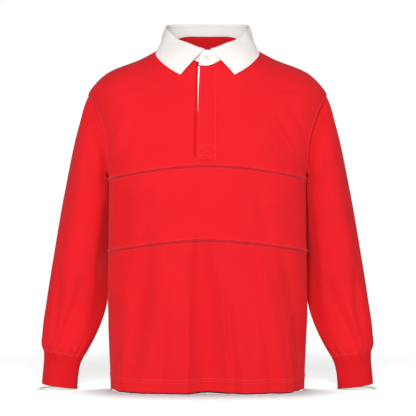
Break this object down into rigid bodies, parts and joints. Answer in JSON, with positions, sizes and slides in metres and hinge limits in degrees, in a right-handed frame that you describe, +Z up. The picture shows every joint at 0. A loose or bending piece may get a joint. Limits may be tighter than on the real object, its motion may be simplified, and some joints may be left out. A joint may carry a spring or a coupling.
{
  "type": "polo shirt",
  "caption": "Long-sleeved polo shirt in heavy jersey, filled out as if worn, with a turned-down collar, buttoned placket and ribbed cuffs.",
  "frame": {"origin": "middle of the neck opening, level with the inner ends of the shoulder seams, where the wearer carries the shirt", "axes": "+Z up, -Y out of the front, +X towards the wearer's left"},
  "size_m": [0.7476, 0.2475, 0.829],
  "materials": {
    "red_jersey": "matte",
    "red_rib": "matte",
    "white_twill": "matte",
    "button_white": "satin"
  },
  "bodies": {
    "root": {"front_upper": "red_jersey", "front_middle": "red_jersey", "front_lower": "red_jersey", "back": "red_jersey", "sleeve_left": "red_jersey", "sleeve_right": "red_jersey", "cuff_left": "red_rib", "cuff_right": "red_rib", "placket_overlap": "red_jersey", "placket_underlap": "red_jersey", "placket_facing": "white_twill", "collar_stand": "white_twill", "collar_leaf": "white_twill", "button": "button_white"}
  },
  "joints": []
}
